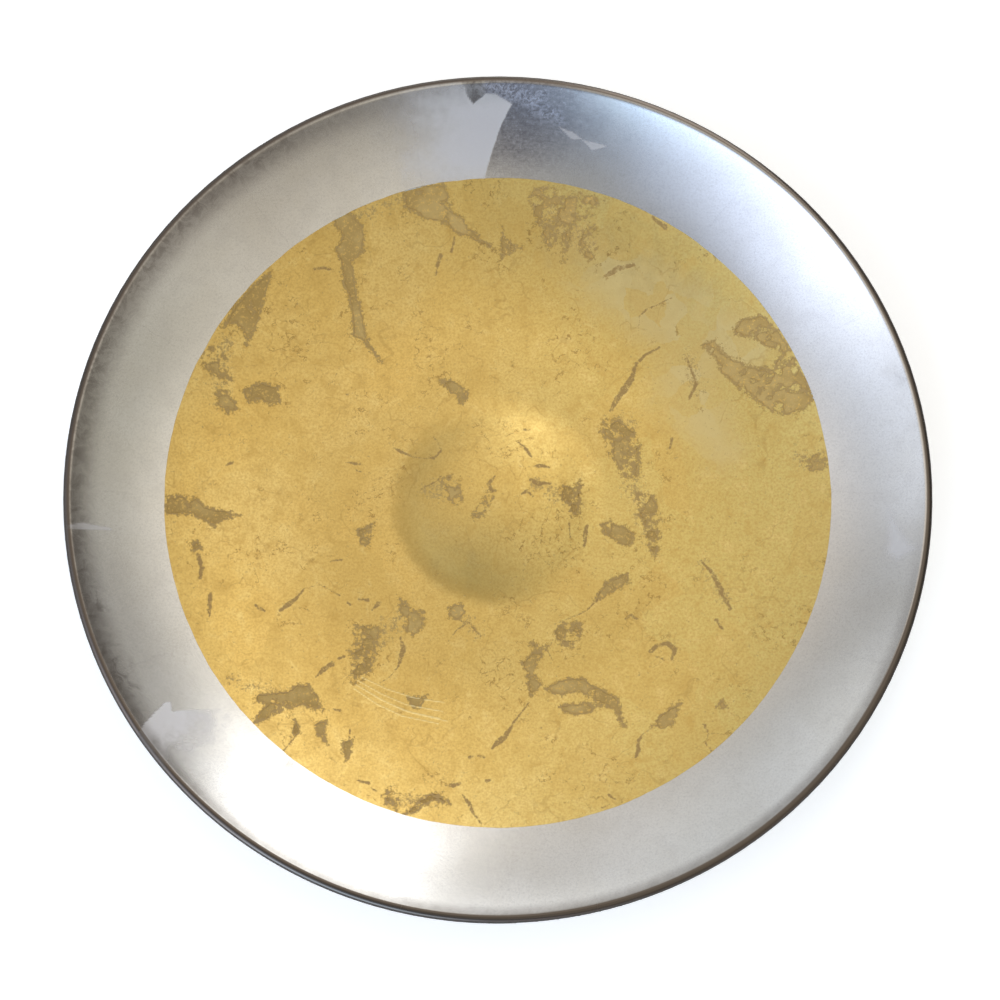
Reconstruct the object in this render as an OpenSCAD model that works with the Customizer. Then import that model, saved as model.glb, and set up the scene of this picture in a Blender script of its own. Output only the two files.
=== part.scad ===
// Round dished glass platter with a raised centre, gilded on its upper face with sheets of
// gold-coloured leaf inside a ring of silver-coloured leaf.
// Millimetres, +Z up. The origin is on the table, at the centre of the foot.

/* [Glass] */
// Outer diameter of the platter
platter_d = 400; // [340:1:460]
// Height of the glass, from the table to the top of the lip
platter_h = 36; // [28:1:48]
// Thickness of the glass, which is also the width of its rounded lip
glass_t = 5; // [4:0.5:7]
// Outer diameter of the flat ring that stands on the table
foot_d = 160; // [130:1:190]

/* [Raised centre] */
// Inner diameter of the flat ring, where the raised centre starts
bump_d = 104; // [80:1:120]
// Height of the raised centre above the flat ring
bump_h = 6; // [3:0.5:9]
// Radius of the hollow sweep at the foot of the raised centre, on the underside
sweep_r = 60; // [30:1:90]

/* [Coats] */
// Thickness of the coloured ground coats
ground_t = 0.3; // [0.2:0.05:0.5]
// Thickness of one sheet of metal leaf
leaf_t = 0.2; // [0.1:0.05:0.3]
// Clearance between one layer and the next
layer_gap = 0.05; // [0.01:0.01:0.1]
// Where the silver ground ends on the lip, in degrees above level
ground_end = 30; // [25:1:60]
// How far short of that the silver leaf is worn back, in degrees
leaf_worn = 25; // [10:1:40]

/* [Leaf layout] */
// Width of the silver ring, from the gold disc to the edge of the platter
ring_w = 45; // [30:1:70]
// Distance between the seams of the gold sheets
gold_pitch = 130; // [100:1:150]
// Number of silver sheets round the ring
silver_sheets = 14; // [8:1:18]
// Gap between neighbouring sheets of leaf
seam_gap = 0.2; // [0.1:0.05:0.6]

/* [Hidden] */
$fn = 256;
SIDES = ["left", "", "right"];
ENDS = ["front", "", "back"];
SHEETS_ACROSS = len(SIDES);

// Names of the sheets: front is towards -Y and right is towards +X
function gold_name(column, row) =
    let (words = [for (word = [ENDS[row], SIDES[column]]) if (word != "") word])
    len(words) == 0 ? "gold_leaf_centre"
    : len(words) == 1 ? str("gold_leaf_", words[0])
    : str("gold_leaf_", words[0], "_", words[1]);
function silver_name(i) = str("silver_leaf_", i < 9 ? "0" : "", i + 1);

platter_r = platter_d / 2;
gold_r = platter_r - ring_w;
foot_r = foot_d / 2;
bump_r = bump_d / 2;
lip_r = glass_t / 2;

// The raised centre: a cap and the sweep at its foot are arcs that meet in one tangent
arcs_r = (bump_r * bump_r + bump_h * bump_h) / (2 * bump_h);
cap_r = arcs_r - sweep_r;
cap_centre = [0, bump_h - cap_r];
sweep_centre = [bump_r, sweep_r];

// The wall: one arc through the middle of the glass, level at the foot and ending in the lip
wall_run = platter_r - lip_r - foot_r;
wall_rise = platter_h - glass_t;
wall_mid_r = (wall_run * wall_run + wall_rise * wall_rise) / (2 * wall_rise);
wall_r = wall_mid_r + lip_r;
wall_centre = [foot_r, wall_r];
lip_centre = [platter_r - lip_r, platter_h - lip_r];
beyond_lip = 2 * lip_centre - wall_centre;
base_z = beyond_lip[1];

// Overlap by which neighbouring arcs cross, so that each runs cleanly into the next
arc_lap = 0.005;

// Heights of the coats above the underside of the glass, along its normal
ground_low = glass_t + layer_gap;
ground_top = ground_low + ground_t;
leaf_low = ground_top + layer_gap;
leaf_top = leaf_low + leaf_t;

// Everything under the surface that lies a given height above the underside of the glass, in
// the half section, from the axis to the end of the wall
module under_surface(height) {
    joint_z = cap_centre[1] + (cap_r + height) * (sweep_centre[1] - cap_centre[1]) / arcs_r;
    intersection() {
        union() {
            translate(cap_centre) circle(cap_r + height);
            difference() {
                translate([0, base_z]) square([bump_r, joint_z - base_z]);
                translate(sweep_centre) circle(sweep_r - height + arc_lap);
            }
            translate([0, base_z]) square([beyond_lip[0], height - base_z]);
            difference() {
                translate([foot_r, base_z]) square([beyond_lip[0] - foot_r, wall_centre[1] - base_z]);
                translate(wall_centre) circle(wall_r - height + arc_lap);
            }
        }
        polygon([[0, base_z], [0, wall_centre[1]], wall_centre, beyond_lip]);
    }
}

// The same, carried on round the lip
module under_lip_surface(height) {
    under_surface(height);
    translate(lip_centre) circle(height - lip_r + arc_lap);
}

// Half of the section through a coat on the dish, between two heights
module dish_section(low, high) {
    difference() {
        under_surface(high);
        under_surface(low);
    }
}

// Half of the section through a coat that runs on over the lip, down to a direction above level
module rim_section(low, high, end) {
    intersection() {
        difference() {
            under_lip_surface(high);
            under_lip_surface(low);
        }
        polygon([
            lip_centre,
            lip_centre + platter_r * [cos(end), sin(end)],
            [0, wall_centre[1]],
            [0, 0],
            [lip_centre[0], 0]
        ]);
    }
}

// What lies inside or outside the gold disc, in the half section
module inside_gold() {
    square([gold_r, platter_h]);
}
module outside_gold() {
    translate([gold_r + seam_gap, 0]) square([platter_r, 2 * platter_h]);
}

module glass_platter() {
    color([0.78, 0.88, 0.84, 0.6])
    rotate_extrude() difference() {
        under_lip_surface(glass_t);
        under_surface(0);
    }
}

module gold_ground() {
    color([0.60, 0.50, 0.37])
    rotate_extrude() intersection() {
        dish_section(ground_low, ground_top);
        inside_gold();
    }
}

module silver_ground() {
    color([0.70, 0.70, 0.73])
    rotate_extrude() intersection() {
        rim_section(ground_low, ground_top, ground_end);
        outside_gold();
    }
}

// One square sheet of the grid, trimmed to the disc where it runs over the edge
module gold_leaf(column, row) {
    side = gold_pitch - seam_gap;
    last = SHEETS_ACROSS - 1;
    left = column == 0 ? -gold_r : (column - last / 2) * gold_pitch - side / 2;
    right = column == last ? gold_r : (column - last / 2) * gold_pitch + side / 2;
    front = row == 0 ? -gold_r : (row - last / 2) * gold_pitch - side / 2;
    back = row == last ? gold_r : (row - last / 2) * gold_pitch + side / 2;
    color([0.82, 0.69, 0.40])
    intersection() {
        rotate_extrude() intersection() {
            dish_section(leaf_low, leaf_top);
            inside_gold();
        }
        translate([left, front, 0]) cube([right - left, back - front, platter_h]);
    }
}

// One sheet of the ring, between two radial seams
module silver_leaf(i) {
    pitch = 360 / silver_sheets;
    gap = seam_gap / gold_r * 180 / PI;
    color([0.76, 0.77, 0.78])
    rotate([0, 0, i * pitch + gap / 2])
    rotate_extrude(angle = pitch - gap) intersection() {
        rim_section(leaf_low, leaf_top, ground_end + leaf_worn);
        outside_gold();
    }
}

glass_platter();
gold_ground();
silver_ground();
for (row = [0:SHEETS_ACROSS - 1])
    for (column = [0:SHEETS_ACROSS - 1])
        gold_leaf(column, row);
for (i = [0:silver_sheets - 1])
    silver_leaf(i);
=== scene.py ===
"""Gilded glass platter: leaf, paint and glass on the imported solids, seen as in the photograph."""
import functools
import math

import bpy
import numpy as np
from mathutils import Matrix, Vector


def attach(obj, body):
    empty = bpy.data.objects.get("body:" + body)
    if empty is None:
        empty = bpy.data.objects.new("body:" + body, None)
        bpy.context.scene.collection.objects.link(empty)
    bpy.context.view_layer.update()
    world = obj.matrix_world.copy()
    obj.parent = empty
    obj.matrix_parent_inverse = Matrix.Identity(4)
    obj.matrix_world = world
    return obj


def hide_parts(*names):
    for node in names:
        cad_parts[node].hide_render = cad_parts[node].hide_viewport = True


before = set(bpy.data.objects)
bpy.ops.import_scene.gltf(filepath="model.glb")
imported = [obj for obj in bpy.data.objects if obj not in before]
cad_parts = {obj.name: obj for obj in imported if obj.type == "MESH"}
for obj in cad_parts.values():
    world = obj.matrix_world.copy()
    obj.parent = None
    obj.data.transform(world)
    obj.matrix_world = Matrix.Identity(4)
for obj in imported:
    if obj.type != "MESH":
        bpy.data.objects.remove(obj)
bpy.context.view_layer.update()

MM = 0.001

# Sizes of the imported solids, in millimetres, as the part's source names them
PLATTER_R = 200.0
PLATTER_H = 36.0
GLASS_T = 5.0
FOOT_R = 80.0
BUMP_R = 52.0
BUMP_H = 6.0
SWEEP_R = 60.0
GOLD_R = 155.0
GOLD_PITCH = 130.0
SHEETS_ACROSS = 3
SILVER_SHEETS = 14
LEAF_LOW = 5.4
LEAF_TOP = 5.6
LEAF_END = 55.0  # degrees above level, where the silver leaf is worn away on the lip

# What follows from them
LIP_R = GLASS_T / 2
ARCS_R = (BUMP_R**2 + BUMP_H**2) / (2 * BUMP_H)
CAP_R = ARCS_R - SWEEP_R
CAP_Z = BUMP_H - CAP_R
WALL_RUN = PLATTER_R - LIP_R - FOOT_R
WALL_RISE = PLATTER_H - GLASS_T
WALL_R = (WALL_RUN**2 + WALL_RISE**2) / (2 * WALL_RISE) + LIP_R
LIP_CENTRE = (PLATTER_R - LIP_R, PLATTER_H - LIP_R)
WALL_END = math.asin(WALL_RUN / (WALL_R - LIP_R))

# The photograph's camera: tilt from straight above, distance from the origin, focal length and
# the origin's place in the picture, in pixels of a 1000 x 1000 picture
PICTURE = 1000
CAMERA_TILT = math.radians(12.81)
CAMERA_ROLL = math.radians(-0.28)
CAMERA_DISTANCE = 1477.0
FOCAL_PX = 3135.2
ORIGIN_PX = (497.8, 503.7)
SENSOR_MM = 36.0
MM_PER_PX = 0.468
AIMING_ROUNDS = 12  # how often a pixel's place on the curved dish is worked out again

# The mesh of the leaf, in millimetres
GRID_MM = 0.7
GRID_RING_R = 175.0  # where the ring's grid has that width
LIP_ROWS = 10
SHEET_GAP = 0.03
SEAM_ROOM = 5.0  # how far a gold grid runs past its seams
EDGE_ROOM = 1.0  # how far the grids run past the edge of the gold
RING_ROOM = 6  # how far a silver grid runs past its seams, in columns
CUT_MARGIN = 0.03  # a cut keeps this share of an edge away from its ends
SHARP_ANGLE = math.radians(50)
FLAKED_MM = 0.7  # how far inside its torn edge the leaf still hangs in flakes
FAR_MM = 6.0  # distances are kept no longer than this
UNREACHED_MM = 1e3
TINY = 1e-9

# Noise: its first seed, the cells of its table, and the seeds of each use
SEED = 11
NOISE_CELLS = 256
OCTAVES = 3
COLUMN_SEED = 50
ROW_SEED = 60
GOLD_EDGE_SEED = 70
RING_SEED = 80
RING_SEAM_SEED = 90

# How far hand-laid seams stray, along what length, and the step in their seed
SEAM_STRAYS = [(2.2, 22, 0), (0.6, 5, 1)]
EDGE_SHIFT = 0.1  # how far out the edge of the gold is moved
EDGE_STRAY = 0.3  # how far it strays
EDGE_LENGTH = 9  # and along what length

# Wear of the gold: ragged edges, as how far they stray, and the length and seed of two noises
RAGGED_STRAY = 0.8
RAGGED_NOISES = [(5.0, 30), (2.4, 34)]
FLAKES_NOISE = (4.0, 44)  # length and seed
# A tear that holds leaf is more ragged, and holds it where the noise of the flakes is above a level
TEAR_RAGGED = 1.6
SCRAP_SLOPE = 4.0
SCRAP_LEVEL = 0.62
SCRAP_SHARE = 1.05
CRACK_DEPTH = 0.35  # inside a crack, distances are kept no further below zero than this
SCRATCH_WIDTH = 0.0  # distances from a scratch start at its middle
TONE_START = -45.0  # the gold turns paler from here to the right, over a run
TONE_RUN = 140.0

# Edges of worn places: how ragged each is, and at what distances it is full and gone
RUBBED_EDGE = (2.0, -5.0, 4.0)
PALE_EDGE = (3.0, -8.0, 16.0)
BARE_TOP_RUN = (6.0, 6.0, 58.0)
BARE_LEFT_RUN = (9.0, 2.0, 28.0)
BRUSHED_RUN = (4.0, 8.0, 54.0)
BRUSHED_PALE_RUN = (3.0, 0.0, 16.0)  # beside the gold
BAND_EDGE = (3.0, -3.0, 3.0)
TARNISH_EDGE = (3.0, -6.0, 5.0)

# Painted shade on the side of the raised centre turned from the light: where it is full and gone round the
# axis and out from a radius
BUMP_SHADE_MIDDLE = math.radians(205)
BUMP_SHADE_TURN = (math.radians(50), math.radians(110))
BUMP_SHADE_R = 46.0
BUMP_SHADE_OUTWARD = (2.5, 0.0, 6.0)
BUMP_SHADE_INWARD = (0.0, 36.0)
BUMP_SHADE_STRENGTH = 0.5

# Wear of the ring, and painted shade on it
RING_RAGGED = 0.8
RING_RAGGED_LENGTH = 4.0
FILM_STRENGTH = 0.6
BRUSHED_FADED = 0.6  # how much paler the brushed patch is beside the gold
BAND_STRENGTH = 0.7
# Painted shade: the dark band inside the lip on the left, in place of the dark surroundings that the leaf
# reflects there; where it is full and gone round the axis and inward
PAINTED_SHADE_MIDDLE = math.radians(165)
PAINTED_SHADE_TURN = (math.radians(35), math.radians(75))
PAINTED_SHADE_INWARD = (0.0, 15.0)
PAINTED_SHADE_STRENGTH = 0.95
# The lip, worn and darkened by painted shade, most of all at the front, which faces the camera: round the
# axis, how far over the lip the leaf is whole at the back and at the front, how it fades there, and the
# painted shade beside it
LIP_MIDDLE = math.radians(265)
LIP_TURN = (math.radians(55), math.radians(100))
LIP_WHOLE_BACK = 1.4
LIP_WHOLE_FRONT = 0.5
LIP_FADE = (-0.3, 0.5)
LIP_SHADE = 0.5
LIP_SHADE_INWARD = (0.0, 6.0)
LIP_SHADE_RAGGED = 0.25


# The dish as a surface

def leaf_surface(r):
    """How high the top of the leaf lies on the dish at radius r, and the outward part of its normal."""
    cap_r, sweep_r, wall_r = CAP_R + LEAF_TOP, SWEEP_R - LEAF_TOP, WALL_R - LEAF_TOP
    zones = [r < BUMP_R * cap_r / ARCS_R, r < BUMP_R, r < FOOT_R]
    cap = CAP_Z + np.sqrt(np.maximum(cap_r**2 - r**2, 0))
    sweep = SWEEP_R - np.sqrt(np.maximum(sweep_r**2 - (r - BUMP_R) ** 2, 0))
    wall = WALL_R - np.sqrt(np.maximum(wall_r**2 - (r - FOOT_R) ** 2, 0))
    z = np.select(zones, [cap, sweep, np.full_like(r, LEAF_TOP)], wall)
    tilt = np.select(zones, [r / cap_r, (BUMP_R - r) / sweep_r, np.zeros_like(r)], (FOOT_R - r) / wall_r)
    return z, tilt


def turned(r, z, angle):
    """Points of the half section, turned about the axis."""
    return np.stack([r * np.cos(angle), r * np.sin(angle), z], axis=-1)


# From the photograph to the dish

def view_axes():
    """Right, up and back of the photograph's camera, before its roll."""
    back = np.array([0.0, -math.sin(CAMERA_TILT), math.cos(CAMERA_TILT)])
    up = np.array([0.0, math.cos(CAMERA_TILT), math.sin(CAMERA_TILT)])
    return np.array([1.0, 0.0, 0.0]), up, back


@functools.lru_cache(maxsize=None)
def from_photo(x, y):
    """The place on the leaf, in plan and in millimetres, that shows at a pixel of the photograph."""
    right, up, back = view_axes()
    across, down = (x - ORIGIN_PX[0]) / FOCAL_PX, (y - ORIGIN_PX[1]) / FOCAL_PX
    cos, sin = math.cos(CAMERA_ROLL), math.sin(CAMERA_ROLL)
    across, down = across * cos - down * sin, across * sin + down * cos
    ray = right * across - up * down - back
    eye = back * CAMERA_DISTANCE
    z = PLATTER_H / 2
    for _ in range(AIMING_ROUNDS):
        place = eye + ray * ((z - eye[2]) / ray[2])
        r = min(math.hypot(place[0], place[1]), LIP_CENTRE[0])
        z = float(leaf_surface(np.array(r))[0])
    return place[:2]


# Seeded noise and distances

def smooth(t):
    """A value from 0 to 1, eased at both ends."""
    return t * t * (3 - 2 * t)


def lattice_noise(x, y, length, seed):
    """Smooth noise from -1 to 1 with features of about a length in millimetres."""
    table = np.random.default_rng(SEED + seed).uniform(-1, 1, (NOISE_CELLS, NOISE_CELLS))
    u, v = x / length + NOISE_CELLS / 2, y / length + NOISE_CELLS / 2
    i, j = np.floor(u).astype(int), np.floor(v).astype(int)
    fu, fv = smooth(u - i), smooth(v - j)
    i, j, i1, j1 = (k % NOISE_CELLS for k in (i, j, i + 1, j + 1))
    low = table[i, j] * (1 - fu) + table[i1, j] * fu
    high = table[i, j1] * (1 - fu) + table[i1, j1] * fu
    return low * (1 - fv) + high * fv


def rough_noise(x, y, length, seed):
    """Some octaves of the noise."""
    octaves = [lattice_noise(x, y, length / 2**k, seed + k) / 2**k for k in range(OCTAVES)]
    return sum(octaves) / sum(1 / 2**k for k in range(OCTAVES))


def chain_distance(x, y, chain):
    """Distance outside a chain of tapered strokes, each point of it (x, y, half width) in pixels."""
    spots = [(*from_photo(px, py), half * MM_PER_PX) for px, py, half in chain]
    nearest = np.full_like(x, UNREACHED_MM)
    for (ax, ay, ar), (bx, by, br) in zip(spots, spots[1:] + spots[-1:]):
        dx, dy = bx - ax, by - ay
        along = ((x - ax) * dx + (y - ay) * dy) / max(dx * dx + dy * dy, TINY)
        along = np.clip(along, 0, 1)
        reach = np.hypot(x - ax - along * dx, y - ay - along * dy) - (ar + along * (br - ar))
        nearest = np.minimum(nearest, reach)
    return nearest


def nearest_chain(x, y, chains):
    """Distance outside the nearest of several chains."""
    return np.min([chain_distance(x, y, chain) for chain in chains], axis=0)


def area_distance(x, y, corners):
    """Signed distance outside a polygon whose corners are pixels of the photograph."""
    nearest = chain_distance(x, y, [(px, py, 0) for px, py in corners + corners[:1]])
    spots = [from_photo(px, py) for px, py in corners]
    inside = np.zeros(x.shape, bool)
    for (ax, ay), (bx, by) in zip(spots, spots[1:] + spots[:1]):
        if ay != by:
            spans = (ay > y) != (by > y)
            inside ^= spans & (x < ax + (y - ay) * (bx - ax) / (by - ay))
    return np.where(inside, -nearest, nearest)


def faded(distance, full, gone):
    """1 up to the distance where a mark is full, and 0 from where it is gone."""
    return smooth(np.clip((gone - distance) / (gone - full), 0, 1))


def frayed(distance, ragged, edge):
    """The same with a ragged edge."""
    share, full, gone = edge
    return faded(distance + share * ragged, full, gone)


def turn_between(angle, middle):
    """How far an angle lies from another, either way round."""
    return np.abs((angle - middle + np.pi) % (2 * np.pi) - np.pi)


# What is torn and worn, in pixels of the photograph

# Tears in the gold: how much leaf is left in each, and its corners
GOLD_TEARS = {
    "long crack": (0.0, [
        (339, 212), (337, 224), (345, 235), (337, 247), (340, 258), (343, 261), (342, 268), (348, 285),
        (352, 299), (355, 314), (356, 330), (352, 335), (362, 337), (370, 347), (383, 361), (376, 349),
        (368, 335), (365, 322), (361, 303), (358, 285), (356, 270), (356, 258), (364, 251), (367, 235),
        (364, 224), (356, 210)]),
    "top": (0.1, [
        (406, 188), (408, 207), (420, 214), (435, 220), (452, 226), (458, 232), (468, 236), (482, 241),
        (499, 251), (481, 236), (471, 228), (466, 218), (454, 210), (452, 196), (447, 184), (430, 184)]),
    "top right": (0.25, [(505, 227), (511, 240), (525, 247), (511, 255), (500, 262), (503, 245)]),
    "edge triangle": (0.0, [
        (274, 269), (267, 291), (262, 312), (256, 328), (248, 344), (246, 332), (238, 321), (224, 325),
        (238, 302), (256, 282)]),
    "left flake": (0.5, [
        (204, 352), (214, 345), (226, 352), (228, 364), (222, 373), (212, 372), (205, 362)]),
    "left flake low": (0.4, [(214, 368), (228, 367), (231, 378), (222, 381)]),
    "left flake foot": (0.3, [(217, 388), (228, 386), (236, 400), (239, 408), (226, 411), (219, 400)]),
    "left block": (0.15, [
        (243, 388), (262, 380), (280, 383), (281, 401), (270, 403), (262, 399), (250, 399)]),
    "left edge": (0.1, [
        (166, 491), (180, 492), (195, 496), (205, 503), (224, 507), (239, 512), (228, 517), (214, 523),
        (203, 516), (191, 511), (167, 510)]),
    "left low": (0.3, [(189, 540), (198, 538), (202, 547), (193, 550)]),
    "shield": (0.1, [
        (436, 377), (452, 380), (466, 387), (471, 393), (468, 401), (460, 404), (457, 395), (447, 387)]),
    "bump left": (0.4, [(439, 479), (449, 475), (459, 477), (462, 500), (452, 502), (447, 490)]),
    "bump middle": (0.45, [
        (487, 491), (494, 491), (492, 502), (486, 512), (478, 520), (472, 517), (478, 508), (484, 502)]),
    "bump right": (0.5, [
        (561, 483), (583, 481), (580, 500), (577, 515), (570, 518), (563, 508), (559, 497)]),
    "beside bump": (0.1, [
        (601, 526), (610, 521), (616, 524), (626, 529), (633, 534), (632, 545), (625, 547), (612, 540),
        (602, 534)]),
    "beside bump far": (0.5, [
        (636, 496), (652, 494), (656, 510), (658, 530), (661, 545), (654, 562), (648, 548), (644, 530),
        (639, 515)]),
    "beside bump top": (0.45, [
        (602, 424), (615, 418), (632, 430), (639, 445), (641, 465), (637, 479), (628, 484), (618, 471),
        (609, 456), (603, 440)]),
    "left of bump": (0.1, [(355, 528), (373, 522), (369, 546), (361, 542)]),
    "below bump": (0.3, [
        (592, 602), (598, 592), (606, 584), (616, 577), (628, 574), (631, 584), (620, 588), (612, 593),
        (604, 599)]),
    "pentagon": (0.35, [
        (552, 632), (560, 626), (580, 622), (581, 630), (577, 649), (566, 648), (555, 640)]),
    "under bump": (0.2, [(449, 607), (463, 604), (466, 612), (457, 620), (446, 618)]),
    "top speckle": (0.62, [
        (533, 187), (560, 189), (602, 200), (597, 215), (580, 222), (574, 232), (568, 263), (555, 258),
        (546, 240), (536, 215)]),
    "top speckle right": (0.6, [(585, 232), (598, 225), (603, 240), (598, 257), (588, 260), (583, 248)]),
    "right patch": (0.3, [
        (704, 349), (716, 342), (719, 350), (726, 356), (748, 367), (773, 372), (782, 357), (762, 344),
        (741, 338), (735, 332), (745, 322), (760, 317), (776, 331), (791, 346), (804, 378), (817, 402),
        (806, 412), (782, 417), (762, 409), (752, 398), (736, 388), (723, 375), (716, 359)]),
    "right edge": (0.66, [(800, 462), (832, 454), (832, 468), (812, 473)]),
    "low crack": (0.25, [
        (532, 641), (528, 652), (521, 662), (525, 678), (529, 696), (540, 684), (533, 674), (534, 664),
        (541, 655), (547, 646), (538, 650)]),
    "low arch": (0.1, [
        (541, 690), (557, 680), (578, 679), (590, 686), (605, 693), (616, 700), (618, 712), (626, 729),
        (616, 725), (612, 711), (601, 705), (586, 697), (576, 693), (561, 696)]),
    "low arch branch": (0.2, [
        (561, 713), (559, 706), (575, 704), (590, 702), (601, 706), (590, 713), (575, 715)]),
    "low right": (0.2, [
        (650, 727), (655, 721), (668, 708), (680, 703), (677, 714), (671, 728), (660, 730)]),
    "low far right": (0.2, [(715, 708), (722, 700), (724, 709), (718, 714)]),
    "ring flake": (0.35, [
        (397, 597), (404, 600), (409, 608), (423, 611), (422, 622), (412, 635), (405, 630), (402, 615)]),
    "mottled": (0.45, [
        (348, 622), (364, 624), (379, 626), (376, 647), (370, 663), (364, 675), (350, 683), (348, 674),
        (355, 667), (348, 653), (355, 638)]),
    "left arch": (0.12, [
        (248, 720), (259, 708), (267, 703), (258, 700), (251, 697), (259, 690), (270, 692), (289, 688),
        (295, 683), (306, 684), (317, 695), (320, 708), (310, 710), (303, 703), (291, 706), (278, 710),
        (268, 716), (255, 723)]),
    "left arch drop": (0.0, [(287, 712), (296, 719), (297, 731), (290, 734), (292, 722)]),
    "left arch far": (0.0, [(313, 720), (325, 720), (321, 730), (325, 743), (315, 732)]),
    "left arch tail": (0.1, [(340, 740), (352, 736), (350, 747), (344, 759), (341, 749)]),
    "scratched": (0.0, [(403, 693), (414, 697), (425, 695), (420, 708), (410, 706)]),
    "bottom flake": (0.5, [(378, 794), (388, 787), (397, 796), (394, 809), (387, 805)]),
    "bottom arch": (0.1, [
        (401, 814), (410, 803), (424, 793), (438, 793), (446, 803), (432, 801), (420, 805), (413, 813)]),
}

# Cracks and small marks in the gold: chains of (x, y, half width)
GOLD_CRACKS = [
    [(457, 238, 1.5), (454, 252, 1.5)],
    [(443, 255, 2.6), (440, 264, 2), (438, 275, 1)],
    [(317, 267, 1.6), (325, 266, 2), (332, 268, 1.2)],
    [(198, 552, 2.2), (201, 565, 2.8), (199, 576, 1.6)],
    [(210, 591, 2), (208, 607, 2.6), (209, 614, 1)],
    [(226, 463, 1), (232, 460, 2)],
    [(330, 560, 0.8), (341, 558, 1.4)],
    [(279, 608, 1.6), (288, 602, 3), (295, 597, 2), (304, 586, 0.7), (320, 583, 0.6), (339, 594, 1)],
    [(254, 602, 1), (258, 606, 2), (264, 609, 1)],
    [(347, 601, 1.8), (350, 605, 1)],
    [(357, 598, 1), (367, 599, 2)],
    [(371, 609, 1), (378, 602, 2.6)],
    [(399, 636, 1), (402, 648, 3), (399, 658, 2.4), (397, 665, 1), (388, 676, 0.6), (378, 682, 0.6)],
    [(314, 675, 1), (322, 668, 2.6), (331, 662, 3)],
    [(337, 657, 1.2), (343, 655, 1.4)],
    [(295, 732, 0.8), (286, 743, 0.8), (279, 751, 1)],
    [(330, 707, 1), (338, 709, 1.6)],
    [(347, 737, 1), (348, 728, 0.8)],
    [(355, 779, 1), (366, 782, 2)],
    [(369, 787, 1), (374, 790, 1.2)],
    [(443, 785, 1), (450, 785, 2.6), (458, 783, 1.4)],
    [(459, 794, 0.8), (466, 803, 2), (470, 812, 2), (478, 824, 1)],
    [(467, 757, 1.8), (470, 756, 1.4)],
    [(474, 755, 1), (482, 757, 1.4)],
    [(484, 781, 2.2), (487, 780, 1.6)],
    [(490, 748, 1.5), (497, 741, 3.4), (503, 737, 3), (512, 722, 1.2), (527, 703, 0.8)],
    [
        (394, 447, 1), (400, 450, 2), (413, 456, 1.2), (426, 458, 0.8), (435, 457, 1.8), (442, 450, 1),
        (437, 440, 0.8), (431, 432, 0.6)],
    [(420, 489, 0.8), (436, 481, 1.2), (441, 476, 1)],
    [(495, 476, 1), (489, 484, 2.4), (492, 491, 2)],
    [(518, 442, 0.8), (525, 447, 1.6), (529, 453, 2), (533, 459, 1)],
    [(535, 467, 1.4), (541, 466, 2.6), (550, 468, 1)],
    [(531, 480, 2), (538, 484, 3), (551, 484, 1)],
    [(521, 495, 1), (527, 491, 1.8), (533, 497, 1)],
    [(523, 430, 1), (530, 430, 1.2)],
    [(587, 526, 1.4), (585, 536, 2.6), (584, 547, 1.4)],
    [(569, 524, 1), (570, 541, 0.7)],
    [
        (612, 412, 2), (618, 400, 3), (626, 390, 4), (633, 380, 3), (637, 366, 2), (646, 357, 1.4),
        (661, 349, 1.2)],
    [(640, 332, 0.6), (641, 318, 0.7), (647, 312, 1.4), (660, 306, 0.7), (675, 299, 0.6)],
    [(624, 620, 1), (630, 617, 2), (637, 621, 1)],
    [(458, 620, 0.8), (468, 622, 1), (474, 630, 1.8), (480, 637, 0.8)],
    [(468, 622, 0.8), (455, 630, 0.8), (447, 641, 0.6)],
    [(346, 461, 1), (355, 462, 1.8), (363, 463, 1)],
    [(356, 469, 1), (362, 471, 1)],
    [(348, 393, 1.2), (350, 393, 1.2)],
    [(608, 277, 2), (620, 270, 3.4), (636, 266, 2)],
    [(655, 219, 1.6), (668, 229, 3)],
    [(673, 440, 1.6), (670, 450, 1.6)],
    [(688, 360, 1.4), (698, 385, 2), (690, 401, 1.4)],
    [(700, 563, 1.4), (712, 575, 2), (720, 592, 3), (729, 611, 2)],
    [(715, 622, 2), (721, 631, 1.4)],
    [(649, 653, 2.4), (656, 647, 2), (666, 645, 2.4), (674, 651, 3), (670, 661, 1.4)],
    [(655, 658, 1.2), (662, 661, 1)],
    [(650, 729, 1), (640, 736, 1), (636, 742, 2), (636, 752, 2.6), (633, 759, 1.2)],
    [(702, 727, 2), (706, 735, 1), (703, 745, 1), (709, 753, 1.4)],
    [(606, 796, 1.6), (613, 801, 1)],
    [(599, 809, 1), (606, 806, 1)],
    [(552, 640, 0.8), (546, 652, 0.8), (552, 662, 0.6)],
    [(553, 625, 0.6), (585, 612, 0.8), (596, 601, 1.2)],
]

# Where the gold is rubbed thin: chains of (x, y, half width)
GOLD_RUBBED = [
    [(338, 222, 5), (365, 214, 8), (400, 198, 7)],
    [(228, 335, 8), (220, 362, 12), (224, 400, 10)],
    [(620, 430, 18), (628, 470, 14), (648, 520, 12), (654, 556, 6)],
    [(690, 360, 8), (698, 390, 9)],
    [(560, 215, 20), (595, 245, 10)],
    [(720, 350, 6), (760, 390, 14), (800, 400, 14)],
    [(702, 564, 5), (722, 598, 8)],
    [(440, 488, 14), (425, 490, 8)],
    [(226, 676, 5), (250, 684, 6), (300, 698, 10)],
    [(360, 650, 14), (410, 612, 10)],
    [(390, 800, 8), (430, 800, 10)],
    [(570, 500, 12), (536, 484, 8)],
    [(800, 462, 8), (828, 462, 8)],
    [(455, 612, 10), (475, 628, 8)],
]

# Where the gold is paler, in fragments: chains of (x, y, half width)
GOLD_PALE = [
    [(575, 250, 10), (630, 290, 24), (690, 330, 28), (740, 355, 14)],
    [(690, 330, 28), (690, 400, 24), (720, 450, 10)],
]

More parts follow.
